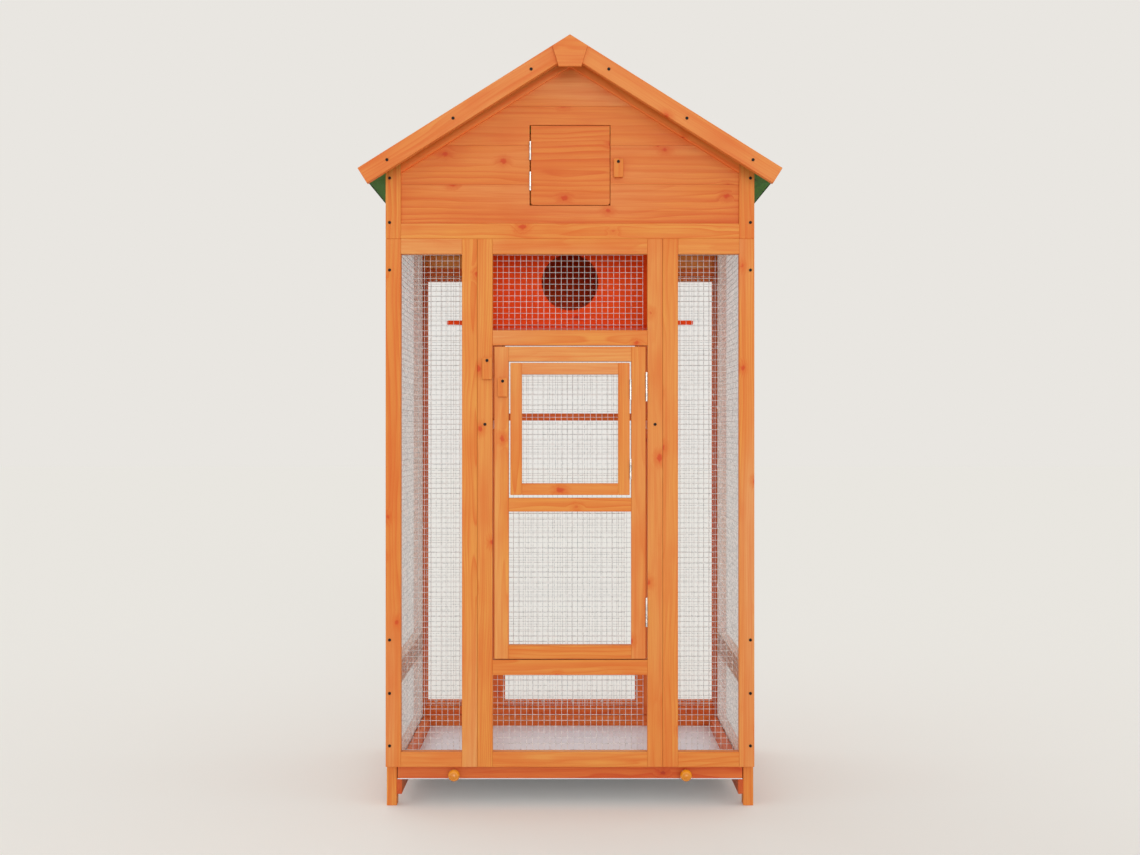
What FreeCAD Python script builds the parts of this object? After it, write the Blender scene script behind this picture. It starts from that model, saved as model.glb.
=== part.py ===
import FreeCAD, Part
import math
import os

V = FreeCAD.Vector

# A free-standing wooden bird cage with a gabled roof. Front at -Y, up +Z, floor at Z = 0.
# All lengths are in millimetres, and the origin is the middle of the footprint.

# Pine battens of the wall frames
batten_w = 33.0
batten_t = 22.0

# Body of the cage
cage_w = 800.0
cage_d = 671.0
leg_h = 1395.3
gable_side_h = 160.8
foot_h = 88.5
outer_frame_w = 199.0

# Openings of the centre front frame, below and above the doorway
foot_way_h = 166.5
top_way_h = 165.5

# Side frames
side_foot_rail_z = 55.0
side_mid_rail_z = 252.0
side_mid_rail_w = 52.0

# Large door
door_gap = 4.0
door_gap_top = 2.6
door_gap_foot = 2.0
door_stile_w = 31.0
door_head_w = 32.0
door_rail_w = 29.5
door_lower_share = 0.4945

# Small door in the upper half of the large door
small_gap = 3.5
small_gap_top = 3.0
small_gap_foot = 6.5
small_batten_w = 25.0

# Welded mesh, drawn with every fourth wire
wire_pitch = 12.7
wires_per_gap = 4
mesh_wire = 1.2
mesh_side_lap = 6.0
mesh_end_lap = 13.0

# Roof
roof_pitch_deg = 32.17
deck_t = 12.0
felt_t = 3.0
side_overhang = 54.0
end_overhang = 55.0
barge_w = 38.0
barge_t = 20.0
plate_t = 8.0
plate_foot_w = 48.4
plate_side = 44.2
ridge_beam_w = 33.0
ridge_beam_h = 50.0

# Gable boarding and its hatch
plank_w = 85.0
plank_t = 10.0
plank_gap = 0.4
plank_setback = 6.0
hatch_way_w = 175.6
hatch_way_h = 175.0
hatch_lift = 39.5
hatch_gap = 2.8
hatch_gap_end = 2.0
hatch_corner_r = 6.0

# Nest box, on two bearers
nest_drop = 184.5
nest_setback = 144.0
nest_overhang = 1.0
nest_d = 250.0
nest_h = 250.0
nest_board_t = 9.0
nest_hole_r = 64.0
nest_hole_h = 103.6
bearer_w = 19.0
landing_overhang = 82.0
landing_h = 10.0
landing_d = 15.0
landing_lift = 6.0

# Perch across the middle of the cage
perch_height_share = 0.568
perch_overhang = 19.0
perch_w = 17.0

# Pull-out drawer under the cage
drawer_top_gap = 1.0
drawer_slack = 1.5
drawer_front_h = 27.0
drawer_front_t = 20.0
drawer_wall_h = 23.5
drawer_wall_t = 20.0
drawer_back_t = 15.0
drawer_rear_gap = 4.0
tray_t = 3.0
runner_w = 11.0
runner_h = 32.2
slide_gap = 0.3
knob_inset = 124.5
knob_drop = 4.3
knob_r = 13.0
knob_neck_r = 6.0
knob_neck_l = 6.0

# Cleats that join the rear frames
cleat_l = 193.0
cleat_h = 21.5
cleat_t = 10.0
cleat_z = 86.1

# Butt hinges
knuckle_r = 2.3
pin_r = 1.2
leaf_t = 1.0
run_gap = 0.05
leaf_gap = 0.3
hinge_stand = 0.2
door_hinge_h = 63.0
small_hinge_h = 44.0
hatch_hinge_h = 40.5
leaf_depth = 16.0
hatch_leaf_depth = 8.0
door_hinge_shares = (0.103, 0.825)
small_hinge_shares = (0.12, 0.72)
hatch_hinge_shares = (0.18, 0.565)

# Turn buttons, which hang open
button_w = 21.0
button_t = 9.0
button_l = 41.0
door_button_l = 48.0
button_inset = 7.0
button_corner_r = 3.0
button_edge_gap = 1.0
small_button_edge_gap = 2.3
door_button_drop = 30.4
small_button_drop = 40.0
hatch_button_off = 17.2
hatch_button_share = 0.54

# Screws
screw_r = 1.75
screw_head_r = 3.0
screw_head_top_r = 2.2
screw_head_h = 1.2
screw_bite = 18.0
plank_bite = 8.0
hole_gap = 0.1
corner_screw_inset = 8.7
corner_screw_shares = (0.0964, 0.178, 0.261, 0.836, 0.910, 0.979)
barge_screw_shares = (0.205, 0.572, 0.883)

# Places that follow from the sizes above
half_w = cage_w / 2
half_d = cage_d / 2
inner_y = half_d - batten_t
side_in_x = half_w - batten_t
wall_top_z = leg_h - gable_side_h
seam_x = half_w - outer_frame_w
way_x = seam_x - batten_w
stile_mid_x = seam_x - batten_w / 2
sill_z = foot_h + batten_w + foot_way_h
way_z = sill_z + batten_w
way_top_z = wall_top_z - batten_w - top_way_h - batten_w
door_x = way_x - door_gap
door_z = way_z + door_gap_foot
door_top_z = way_top_z - door_gap_top
door_in_x = door_x - door_stile_w
door_light_h = door_top_z - door_head_w - door_z - 2 * door_rail_w
door_mid_z = door_z + door_rail_w + door_lower_share * door_light_h
small_way_z = door_mid_z + door_rail_w
small_way_top_z = door_top_z - door_head_w
small_x = door_in_x - small_gap
small_z = small_way_z + small_gap_foot
small_top_z = small_way_top_z - small_gap_top
support_top_z = small_z + perch_height_share * (small_top_z - small_z)
perch_l = 2 * stile_mid_x + bearer_w + 2 * perch_overhang
mesh_step = wire_pitch * wires_per_gap
pitch = math.radians(roof_pitch_deg)
roof_t = deck_t + felt_t
roof_half_w = half_w + side_overhang
slope_l = roof_half_w / math.cos(pitch)
ridge_z = leg_h + half_w * math.tan(pitch) + roof_t / math.cos(pitch)
deck_end_y = half_d + end_overhang - barge_t
barge_end_y = half_d + end_overhang
gable_rail_top_z = wall_top_z + batten_w
gable_in_x = half_w - batten_w
hatch_way_z = gable_rail_top_z + hatch_lift
plank_y = half_d - plank_setback
nest_z = wall_top_z - nest_drop
nest_w = 2 * stile_mid_x + bearer_w + 2 * nest_overhang
landing_l = nest_w + 2 * landing_overhang
nest_y = -half_d + nest_setback
drawer_x = side_in_x - drawer_slack
drawer_top_z = foot_h - drawer_top_gap
drawer_z = drawer_top_z - drawer_front_h
knob_x = drawer_x - knob_inset
drawer_back_y = inner_y - drawer_rear_gap


def block(x0, x1, y0, y1, z0, z1):
    """Box between two corners, in any order."""
    size = (abs(x1 - x0), abs(y1 - y0), abs(z1 - z0))
    corner = V(min(x0, x1), min(y0, y1), min(z0, z1))
    return Part.makeBox(size[0], size[1], size[2], corner)


def prism(points, y0, y1):
    """Outline of (x, z) points, run along Y."""
    ring = [V(x, y0, z) for x, z in points]
    ring.append(ring[0])
    face = Part.Face(Part.makePolygon(ring))
    return face.extrude(V(0, y1 - y0, 0))


def save(name, solids):
    """Write one named piece, or group of like pieces, to its own file."""
    Part.makeCompound(solids).exportStep("parts/" + name + ".step")


def cut_from(solids, tools):
    """Take each tool away from the solids that it reaches."""
    result = []
    for solid in solids:
        for tool in tools:
            if solid.BoundBox.intersect(tool.BoundBox):
                solid = solid.cut(tool).Solids[0]
        result.append(solid)
    return result


def rect_frame(x0, x1, z0, z1, y0, y1, stile, rail):
    """Two stiles with a foot rail and a head rail between them."""
    return [
        block(x0, x0 + stile, y0, y1, z0, z1),
        block(x1 - stile, x1, y0, y1, z0, z1),
        block(x0 + stile, x1 - stile, y0, y1, z0, z0 + rail),
        block(x0 + stile, x1 - stile, y0, y1, z1 - rail, z1),
    ]


def gap_edges(low, high):
    """Low and high edges of the even gaps between the wires of one panel."""
    count = max(1, round((high - low - mesh_wire) / mesh_step))
    step = (high - low - mesh_wire) / count
    return [(low + mesh_wire + i * step, low + (i + 1) * step) for i in range(count)]


def mesh_panel(u0, u1, z0, z1, place, run):
    """Flat net as one holed face: place turns (u, z) into a point, run is its thickness."""
    def ring(a0, a1, b0, b1):
        corners = [place(a0, b0), place(a1, b0), place(a1, b1), place(a0, b1)]
        return Part.makePolygon(corners + corners[:1])
    rings = [ring(u0, u1, z0, z1)]
    for a0, a1 in gap_edges(u0, u1):
        for b0, b1 in gap_edges(z0, z1):
            rings.append(ring(a0, a1, b0, b1))
    face = Part.makeFace(Part.makeCompound(rings), "Part::FaceMakerBullseye")
    return face.extrude(run).Solids[0]


def wall_mesh(x0, x1, z0, z1, y, side):
    """Net on the inner face of a front or rear frame: side points into the cage."""
    return mesh_panel(x0, x1, z0, z1, lambda u, z: V(u, y, z), V(0, side * mesh_wire, 0))


def side_mesh(side):
    """Net on the inner face of a side frame."""
    y = inner_y - batten_w + mesh_side_lap
    z0 = side_foot_rail_z + batten_w - mesh_end_lap
    z1 = leg_h - batten_w + mesh_end_lap
    x = side * side_in_x
    return mesh_panel(-y, y, z0, z1, lambda u, z: V(x, u, z), V(-side * mesh_wire, 0, 0))


def screw(x, y, z, toward, bite):
    """Screw along Y with its head on the face at y: toward is the way that it points."""
    head = Part.makeCone(screw_head_r, screw_head_top_r, screw_head_h, V(x, y, z), V(0, -toward, 0))
    shank = Part.makeCylinder(screw_r, bite, V(x, y, z), V(0, toward, 0))
    return head.fuse(shank).removeSplitter().Solids[0]


def screw_hole(x, y, z, toward, bite):
    """Hole for one screw, a little wider and deeper than its shank."""
    depth = bite + hole_gap
    return Part.makeCylinder(screw_r + hole_gap, depth, V(x, y, z), V(0, toward, 0))


def corner_places():
    """Where the corner screws go in: x, face, height, and the way they point."""
    places = []
    for end in (-1, 1):
        for side in (-1, 1):
            for share in corner_screw_shares:
                places.append((side * (half_w - corner_screw_inset), end * half_d, share * leg_h, -end))
    return places


def support_places():
    """Where the screws of the perch supports go in."""
    z = support_top_z - bearer_w / 2
    return [(side * stile_mid_x, end * half_d, z, -end) for end in (-1, 1) for side in (-1, 1)]


def door_button_place():
    """Pivot of the large door's button, on the centre frame."""
    return -way_x - button_w / 2 - button_edge_gap, door_top_z - door_button_drop


def small_button_place():
    """Pivot of the small door's button, on the large door."""
    return -door_in_x - button_w / 2 - small_button_edge_gap, small_top_z - small_button_drop


def hatch_button_place():
    """Pivot of the hatch's button, on the gable boards, with the face that it lies on."""
    return hatch_way_w / 2 + hatch_button_off, -plank_y, hatch_way_z + hatch_button_share * hatch_way_h


def holes_in_frames():
    """Holes for the screws of the legs, the perch supports and the large door's button."""
    holes = [screw_hole(*place, frame_screw_l) for place in frame_screw_places]
    x, z = door_button_place()
    holes.append(screw_hole(x, -half_d, z, 1, face_bite))
    return holes


frame_screw_places = corner_places() + support_places()
frame_screw_l = batten_t + screw_bite
face_bite = batten_t - screw_head_h
frame_holes = holes_in_frames()


def wall_frames(end):
    """Left, centre and right frame of the front (end -1) or rear (end 1) wall."""
    y0, y1 = end * inner_y, end * half_d
    left = rect_frame(-half_w, -seam_x, foot_h, wall_top_z, y0, y1, batten_w, batten_w)
    centre = rect_frame(-seam_x, seam_x, foot_h, wall_top_z, y0, y1, batten_w, batten_w)
    right = rect_frame(seam_x, half_w, foot_h, wall_top_z, y0, y1, batten_w, batten_w)
    if end < 0:
        centre.append(block(-way_x, way_x, y0, y1, sill_z, way_z))
        centre.append(block(-way_x, way_x, y0, y1, way_top_z, way_top_z + batten_w))
    return left, centre, right


def side_frame(side):
    """Legs down to the floor, with foot, middle and eave rails between them."""
    x0, x1 = side * side_in_x, side * half_w
    leg_in_y = inner_y - batten_w
    pieces = [
        block(x0, x1, -inner_y, -leg_in_y, 0, leg_h),
        block(x0, x1, leg_in_y, inner_y, 0, leg_h),
    ]
    rails = [
        (side_foot_rail_z, batten_w),
        (side_mid_rail_z, side_mid_rail_w),
        (leg_h - batten_w, batten_w),
    ]
    for z, width in rails:
        pieces.append(block(x0, x1, -leg_in_y, leg_in_y, z, z + width))
    return pieces


def under_roof(x, drop):
    """Height at x of the line that lies drop below the top of the roof, square to the slope."""
    return ridge_z - abs(x) * math.tan(pitch) - drop / math.cos(pitch)


def slope_point(along, drop, side):
    """Point on one slope: along it from the ridge, and down square to it."""
    x = along * math.cos(pitch) - drop * math.sin(pitch)
    z = ridge_z - along * math.sin(pitch) - drop * math.cos(pitch)
    return (side * x, z)


def slope_board(side, drop0, drop1, y0, y1):
    """Board along one slope, plumb at the ridge and square at the eave."""
    outline = [
        (0, under_roof(0, drop0)),
        slope_point(slope_l, drop0, side),
        slope_point(slope_l, drop1, side),
        (0, under_roof(0, drop1)),
    ]
    return prism(outline, y0, y1)


def gable_frame(end):
    """Foot rail, two corner stiles and two raking rails."""
    y0, y1 = end * inner_y, end * half_d
    pieces = [block(-gable_in_x, gable_in_x, y0, y1, wall_top_z, gable_rail_top_z)]
    low = roof_t + batten_w
    for side in (-1, 1):
        stile = [
            (side * gable_in_x, wall_top_z),
            (side * half_w, wall_top_z),
            (side * half_w, under_roof(half_w, roof_t)),
            (side * gable_in_x, under_roof(gable_in_x, roof_t)),
        ]
        rake = [
            (0, under_roof(0, roof_t)),
            (side * gable_in_x, under_roof(gable_in_x, roof_t)),
            (side * gable_in_x, under_roof(gable_in_x, low)),
            (0, under_roof(0, low)),
        ]
        pieces.append(prism(stile, y0, y1))
        pieces.append(prism(rake, y0, y1))
    return pieces


def gable_boards(end, with_hatch):
    """Level planks that fill the gable frame, open for the hatch on the front."""
    y0 = end * plank_y
    y1 = end * (plank_y - plank_t)
    low = roof_t + batten_w
    outline = [
        (-gable_in_x, gable_rail_top_z),
        (gable_in_x, gable_rail_top_z),
        (gable_in_x, under_roof(gable_in_x, low)),
        (0, under_roof(0, low)),
        (-gable_in_x, under_roof(gable_in_x, low)),
    ]
    sheet = prism(outline, y0, y1)
    way = block(-hatch_way_w / 2, hatch_way_w / 2, y0, y1, hatch_way_z, hatch_way_z + hatch_way_h)
    if with_hatch:
        sheet = sheet.cut(way)
    planks = []
    tall = under_roof(0, low) - gable_rail_top_z
    count = round(tall / plank_w)
    course = tall / count
    for i in range(count):
        z0 = gable_rail_top_z + i * course
        strip = block(-half_w, half_w, y0, y1, z0, z0 + course - plank_gap)
        planks.extend(sheet.common(strip).Solids)
    return planks


def apex_plate(end):
    """Five-sided plate over the joint of the barge boards."""
    y0, y1 = end * barge_end_y, end * (barge_end_y + plate_t)
    foot_x = plate_foot_w / 2
    side_x = foot_x + plate_side * math.sin(pitch)
    side_z = under_roof(side_x, 0)
    foot_z = side_z - plate_side * math.cos(pitch)
    outline = [(0, ridge_z), (side_x, side_z), (foot_x, foot_z), (-foot_x, foot_z), (-side_x, side_z)]
    return prism(outline, y0, y1)


def ridge_beam():
    """Beam under the ridge, peaked to fit the two roof boards."""
    x = ridge_beam_w / 2
    foot_z = under_roof(0, roof_t) - ridge_beam_h
    outline = [
        (0, under_roof(0, roof_t)),
        (x, under_roof(x, roof_t)),
        (x, foot_z),
        (-x, foot_z),
        (-x, under_roof(x, roof_t)),
    ]
    return prism(outline, -inner_y, inner_y)


def barge_places(end):
    """Where the screws of the barge boards go in."""
    places = []
    for side in (-1, 1):
        for share in barge_screw_shares:
            x, z = slope_point(share * slope_l, barge_w / 2, side)
            places.append((x, end * barge_end_y, z, -end))
    return places


def hinge(move_x, fixed_x, face_y, z0, height, depth):
    """Butt hinge in an upright gap: fixed leaf, pin and moving leaf."""
    sign = math.copysign(1, fixed_x - move_x)
    axis_x = (move_x + fixed_x) / 2
    axis_y = face_y - knuckle_r - hinge_stand
    plate_y = axis_y + knuckle_r + leaf_gap
    third = height / 3

    def leaf(edge_x, inward, turns):
        side_x = edge_x + inward * leaf_t
        shape = block(edge_x, side_x, plate_y, face_y + depth, z0, z0 + height)
        for turn in turns:
            low = z0 + turn * third + leaf_gap / 2
            tall = third - leaf_gap
            tab = block(edge_x, side_x, axis_y, plate_y, low, low + tall)
            barrel = Part.makeCylinder(knuckle_r, tall, V(axis_x, axis_y, low))
            shape = shape.fuse(tab).fuse(barrel)
        bore = Part.makeCylinder(pin_r + run_gap, height, V(axis_x, axis_y, z0))
        return shape.cut(bore).removeSplitter().Solids[0]

    fixed = leaf(fixed_x, -sign, (0, 2))
    moving = leaf(move_x, sign, (1,))
    pin = Part.makeCylinder(pin_r, height, V(axis_x, axis_y, z0))
    return fixed, pin, moving


def hinge_pair(move_x, fixed_x, face_y, z0, span, shares, height, depth):
    """Two hinges of one door: the pieces of the frame side, and those of the door side."""
    fixed_side = []
    door_side = []
    for share in shares:
        fixed, pin, moving = hinge(move_x, fixed_x, face_y, z0 + share * span, height, depth)
        fixed_side += [fixed, pin]
        door_side.append(moving)
    return fixed_side, door_side


def along_y(edge):
    """Whether a straight edge runs along Y."""
    return round(abs(edge.tangentAt(0).y)) == 1


def turn_button(x, face_y, z, length):
    """Wooden turn button that hangs from its screw at x, z."""
    y1 = face_y - slide_gap
    top = z + button_inset
    half = button_w / 2
    body = block(x - half, x + half, y1 - button_t, y1, top - length, top)
    corners = [edge for edge in body.Edges if along_y(edge)]
    body = body.makeFillet(button_corner_r, corners)
    hole = Part.makeCylinder(screw_r + run_gap, button_t, V(x, y1 - button_t, z), V(0, 1, 0))
    return body.cut(hole).Solids[0]


def button_screw_y(face_y):
    """Level of the underside of a button screw's head."""
    return face_y - slide_gap - button_t - run_gap


def nest_box():
    """Front with a round hole, sides, back and floor."""
    x = nest_w / 2
    in_x = x - nest_board_t
    top_z = nest_z + nest_h
    back_y = nest_y + nest_d
    front = block(-x, x, nest_y, nest_y + nest_board_t, nest_z, top_z)
    hole_at = V(0, nest_y, nest_z + nest_hole_h)
    front = front.cut(Part.makeCylinder(nest_hole_r, nest_board_t, hole_at, V(0, 1, 0)))
    y0, y1 = nest_y + nest_board_t, back_y - nest_board_t
    sides = [block(side * in_x, side * x, y0, y1, nest_z, top_z) for side in (-1, 1)]
    back = block(-x, x, y1, back_y, nest_z, top_z)
    floor = block(-in_x, in_x, y0, y1, nest_z, nest_z + nest_board_t)
    return front, sides, back, floor


def cross_bars(top_z):
    """Two bars from the front wall to the rear wall, behind the centre stiles."""
    half = bearer_w / 2
    bars = []
    for side in (-1, 1):
        x = side * stile_mid_x
        bars.append(block(x - half, x + half, -inner_y, inner_y, top_z - bearer_w, top_z))
    return bars


def knob(x):
    """Turned ball knob on a short neck."""
    y = -inner_y
    z = drawer_z + drawer_front_h / 2 - knob_drop
    neck = Part.makeCylinder(knob_neck_r, knob_neck_l + knob_r / 2, V(x, y, z), V(0, -1, 0))
    ball = Part.makeSphere(knob_r, V(x, y - knob_neck_l - knob_r, z))
    return neck.fuse(ball).removeSplitter().Solids[0]


def make_walls():
    """Front, rear and side frames with their nets and cleats."""
    names = ("left", "centre", "right")
    for word, end in (("front", -1), ("rear", 1)):
        for name, frame in zip(names, wall_frames(end)):
            save(word + "_" + name + "_frame", cut_from(frame, frame_holes))
    for word, side in (("left", -1), ("right", 1)):
        save(word + "_side_frame", cut_from(side_frame(side), frame_holes))
        save(word + "_side_mesh", [side_mesh(side)])
    low = foot_h + batten_w - mesh_end_lap
    high = wall_top_z - batten_w + mesh_end_lap
    outer_x = half_w - batten_w + mesh_side_lap
    inner_x = seam_x + batten_w - mesh_side_lap
    centre_x = way_x + mesh_side_lap
    for word, end in (("front", -1), ("rear", 1)):
        y = end * inner_y
        save(word + "_left_mesh", [wall_mesh(-outer_x, -inner_x, low, high, y, -end)])
        save(word + "_right_mesh", [wall_mesh(inner_x, outer_x, low, high, y, -end)])
    save("rear_centre_mesh", [wall_mesh(-centre_x, centre_x, low, high, inner_y, -1)])
    top_low = way_top_z + batten_w - mesh_end_lap
    save("front_top_mesh", [wall_mesh(-centre_x, centre_x, top_low, high, -inner_y, 1)])
    foot_high = sill_z + mesh_end_lap
    save("front_foot_mesh", [wall_mesh(-centre_x, centre_x, low, foot_high, -inner_y, 1)])
    cleats = []
    for side in (-1, 1):
        x0 = side * seam_x - cleat_l / 2
        cleats.append(block(x0, x0 + cleat_l, inner_y - cleat_t, inner_y, cleat_z, cleat_z + cleat_h))
    save("frame_cleats", cleats)


def make_roof():
    """Gables, roof boards, felt, barge boards and apex plates."""
    hatch_screw = hatch_button_place()
    board_holes = [screw_hole(*hatch_screw, 1, plank_bite)]
    save("front_gable_frame", cut_from(gable_frame(-1), frame_holes))
    save("rear_gable_frame", cut_from(gable_frame(1), frame_holes))
    save("front_gable_boards", cut_from(gable_boards(-1, True), board_holes))
    save("rear_gable_boards", gable_boards(1, False))
    save("left_roof_board", [slope_board(-1, felt_t, roof_t, -deck_end_y, deck_end_y)])
    save("right_roof_board", [slope_board(1, felt_t, roof_t, -deck_end_y, deck_end_y)])
    save("roof_felt", [slope_board(side, 0, felt_t, -deck_end_y, deck_end_y) for side in (-1, 1)])
    save("ridge_beam", [ridge_beam()])
    screws = []
    barge_bite = barge_t - screw_head_h
    for word, end in (("front", -1), ("rear", 1)):
        boards = [slope_board(side, 0, barge_w, end * deck_end_y, end * barge_end_y) for side in (-1, 1)]
        places = barge_places(end)
        holes = [screw_hole(*place, barge_bite) for place in places]
        save(word + "_barge_boards", cut_from(boards, holes))
        screws += [screw(*place, barge_bite) for place in places]
    save("barge_screws", screws)
    save("apex_plates", [apex_plate(-1), apex_plate(1)])


def make_inside():
    """Nest box, bearers and perches."""
    front, sides, back, floor = nest_box()
    save("nest_box_front", [front])
    save("nest_box_sides", sides)
    save("nest_box_back", [back])
    save("nest_box_floor", [floor])
    save("nest_box_bearers", cross_bars(nest_z))
    save("perch_supports", cut_from(cross_bars(support_top_z), frame_holes))
    half = perch_w / 2
    perch_top_z = support_top_z + perch_w
    save("cross_perch", [block(-perch_l / 2, perch_l / 2, -half, half, support_top_z, perch_top_z)])
    half = landing_l / 2
    z = nest_z + landing_lift
    save("landing_perch", [block(-half, half, nest_y - landing_d, nest_y, z, z + landing_h)])


def make_doors():
    """Large door, small door, their nets and hinges."""
    y0, y1 = -half_d, -inner_y
    door = [
        block(-door_x, -door_in_x, y0, y1, door_z, door_top_z),
        block(door_in_x, door_x, y0, y1, door_z, door_top_z),
        block(-door_in_x, door_in_x, y0, y1, door_z, door_z + door_rail_w),
        block(-door_in_x, door_in_x, y0, y1, door_mid_z, small_way_z),
        block(-door_in_x, door_in_x, y0, y1, small_way_top_z, door_top_z),
    ]
    small_pivot_x, small_pivot_z = small_button_place()
    hole = screw_hole(small_pivot_x, -half_d, small_pivot_z, 1, face_bite)
    save("door_frame", cut_from(door, [hole]))
    net_x = door_in_x + mesh_side_lap
    net_z = door_z + door_rail_w - mesh_end_lap
    save("door_mesh", [wall_mesh(-net_x, net_x, net_z, door_mid_z + mesh_end_lap, y1, 1)])
    span = door_top_z - door_z
    fixed, moving = hinge_pair(door_x, way_x, y0, door_z, span, door_hinge_shares, door_hinge_h, leaf_depth)
    save("door_hinge_frame_leaves", fixed)
    save("door_hinge_leaves", moving)
    small = rect_frame(-small_x, small_x, small_z, small_top_z, y0, y1, small_batten_w, small_batten_w)
    save("small_door_frame", small)
    net_x = small_x - small_batten_w + mesh_side_lap
    net_z = small_z + small_batten_w - mesh_end_lap
    net_top_z = small_top_z - small_batten_w + mesh_end_lap
    save("small_door_mesh", [wall_mesh(-net_x, net_x, net_z, net_top_z, y1, 1)])
    span = small_top_z - small_z
    places = (small_z, span, small_hinge_shares, small_hinge_h)
    fixed, moving = hinge_pair(small_x, door_in_x, y0, *places, leaf_depth)
    save("small_hinge_frame_leaves", fixed)
    save("small_hinge_leaves", moving)


def make_hatch():
    """Leaf of the gable hatch and its hinges."""
    y0, y1 = -plank_y, -plank_y + plank_t
    x = hatch_way_w / 2 - hatch_gap
    z0 = hatch_way_z + hatch_gap_end
    z1 = hatch_way_z + hatch_way_h - hatch_gap_end
    leaf = block(-x, x, y0, y1, z0, z1)
    low = [edge for edge in leaf.Edges if along_y(edge) and edge.CenterOfMass.z == z0]
    leaf = leaf.makeFillet(hatch_corner_r, low)
    save("gable_hatch", [leaf])
    fixed, moving = hinge_pair(-x, -hatch_way_w / 2, y0, z0, z1 - z0, hatch_hinge_shares,
                               hatch_hinge_h, hatch_leaf_depth)
    save("hatch_hinge_frame_leaves", fixed)
    save("hatch_hinge_leaves", moving)


def make_buttons():
    """Three turn buttons and their screws."""
    x, z = door_button_place()
    door_face = -half_d
    save("door_button", [turn_button(x, door_face, z, door_button_l)])
    through = button_t + slide_gap + run_gap
    bite = through + face_bite
    door_screw = screw(x, button_screw_y(door_face), z, 1, bite)
    x, z = small_button_place()
    save("small_door_button", [turn_button(x, door_face, z, button_l)])
    save("small_button_screw", [screw(x, button_screw_y(door_face), z, 1, bite)])
    x, face, z = hatch_button_place()
    save("hatch_button", [turn_button(x, face, z, button_l)])
    hatch_screw = screw(x, button_screw_y(face), z, 1, through + plank_bite)
    save("button_screws", [door_screw, hatch_screw])


def make_drawer():
    """Front, walls, tray sheet, knobs and the runners that carry them."""
    front = block(-drawer_x, drawer_x, -inner_y, -inner_y + drawer_front_t, drawer_z, drawer_top_z)
    save("drawer_front", [front])
    y0 = -inner_y + drawer_front_t
    y1 = drawer_back_y - drawer_back_t
    top = drawer_z + drawer_wall_h
    in_x = drawer_x - drawer_wall_t
    walls = [block(side * in_x, side * drawer_x, y0, y1, drawer_z, top) for side in (-1, 1)]
    walls.append(block(-drawer_x, drawer_x, y1, drawer_back_y, drawer_z, top))
    save("drawer_walls", walls)
    tray_z = drawer_z - tray_t
    save("tray_sheet", [block(-drawer_x, drawer_x, -inner_y, drawer_back_y, tray_z, drawer_z)])
    save("drawer_knobs", [knob(-knob_x), knob(knob_x)])
    runner_z = tray_z - slide_gap
    runners = []
    for side in (-1, 1):
        x0, x1 = side * (side_in_x - runner_w), side * side_in_x
        runners.append(block(x0, x1, -inner_y, inner_y, runner_z - runner_h, runner_z))
    save("drawer_runners", runners)


def make_all():
    os.makedirs("parts", exist_ok=True)
    make_walls()
    make_roof()
    make_inside()
    make_doors()
    make_hatch()
    make_buttons()
    make_drawer()
    save("frame_screws", [screw(*place, frame_screw_l) for place in frame_screw_places])


make_all()
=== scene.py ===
import math
import random
import bpy
from mathutils import Matrix, Vector


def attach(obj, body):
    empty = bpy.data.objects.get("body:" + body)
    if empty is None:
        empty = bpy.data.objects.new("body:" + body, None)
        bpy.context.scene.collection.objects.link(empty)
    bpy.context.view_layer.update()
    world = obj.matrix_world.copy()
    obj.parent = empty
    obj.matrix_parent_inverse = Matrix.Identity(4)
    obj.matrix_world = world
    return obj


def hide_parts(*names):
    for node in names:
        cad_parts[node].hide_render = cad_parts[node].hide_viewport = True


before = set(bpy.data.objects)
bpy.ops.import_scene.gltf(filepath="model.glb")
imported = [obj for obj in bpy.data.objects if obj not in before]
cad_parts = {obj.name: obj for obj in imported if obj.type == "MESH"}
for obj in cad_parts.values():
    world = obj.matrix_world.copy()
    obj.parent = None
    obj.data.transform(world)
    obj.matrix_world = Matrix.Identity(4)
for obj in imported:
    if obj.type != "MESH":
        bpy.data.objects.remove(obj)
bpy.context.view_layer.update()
bpy.ops.object.select_all(action="DESELECT")

# Side frames. Two legs each, with a foot rail, a wide middle rail and an eave rail butted
# between them. Planed pine battens, 33 by 22 mm, dipped in an orange wood stain and screwed
# together through the faces. The arrises are only just broken. Sizes are in millimetres.
MM = 0.001
BATTEN = 33
THICK = 22
HALF_W = 400
HALF_D = 335.5
INNER_Y = HALF_D - THICK
LEG_TOP = 1395.3
SIDE_RAILS = ((55, 88), (252, 304), (LEG_TOP - BATTEN, LEG_TOP))
ARRIS = 1.0
PITCH = math.radians(32.17)
RIDGE_Z = 1664.62
RIDGE = (0, 0, RIDGE_Z * MM)
AXES = (Vector((1, 0, 0)), Vector((0, 1, 0)), Vector((0, 0, 1)))
draw = random.Random(41)


def linear(colour, alpha=1.0):
    """sRGB hex colour as linear values."""
    values = [int(colour[i:i + 2], 16) / 255 for i in (1, 3, 5)]
    return [v / 12.92 if v <= 0.04045 else ((v + 0.055) / 1.055) ** 2.4 for v in values] + [alpha]


def add(tree, kind, inputs, **settings):
    """One node with its settings. Its inputs are values, or sockets or nodes that link to them."""
    node = tree.nodes.new(kind)
    for name, value in settings.items():
        setattr(node, name, value)
    for name, value in inputs.items():
        if isinstance(value, bpy.types.Node):
            value = next(output for output in value.outputs if output.enabled)
        if isinstance(value, bpy.types.NodeSocket):
            tree.links.new(value, node.inputs[name])
        else:
            node.inputs[name].default_value = value
    return node


def bare_finish(name):
    """New material, with its node tree and its shader."""
    finish = bpy.data.materials.new(name)
    finish.use_nodes = True
    return finish, finish.node_tree, finish.node_tree.nodes["Principled BSDF"]


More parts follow.
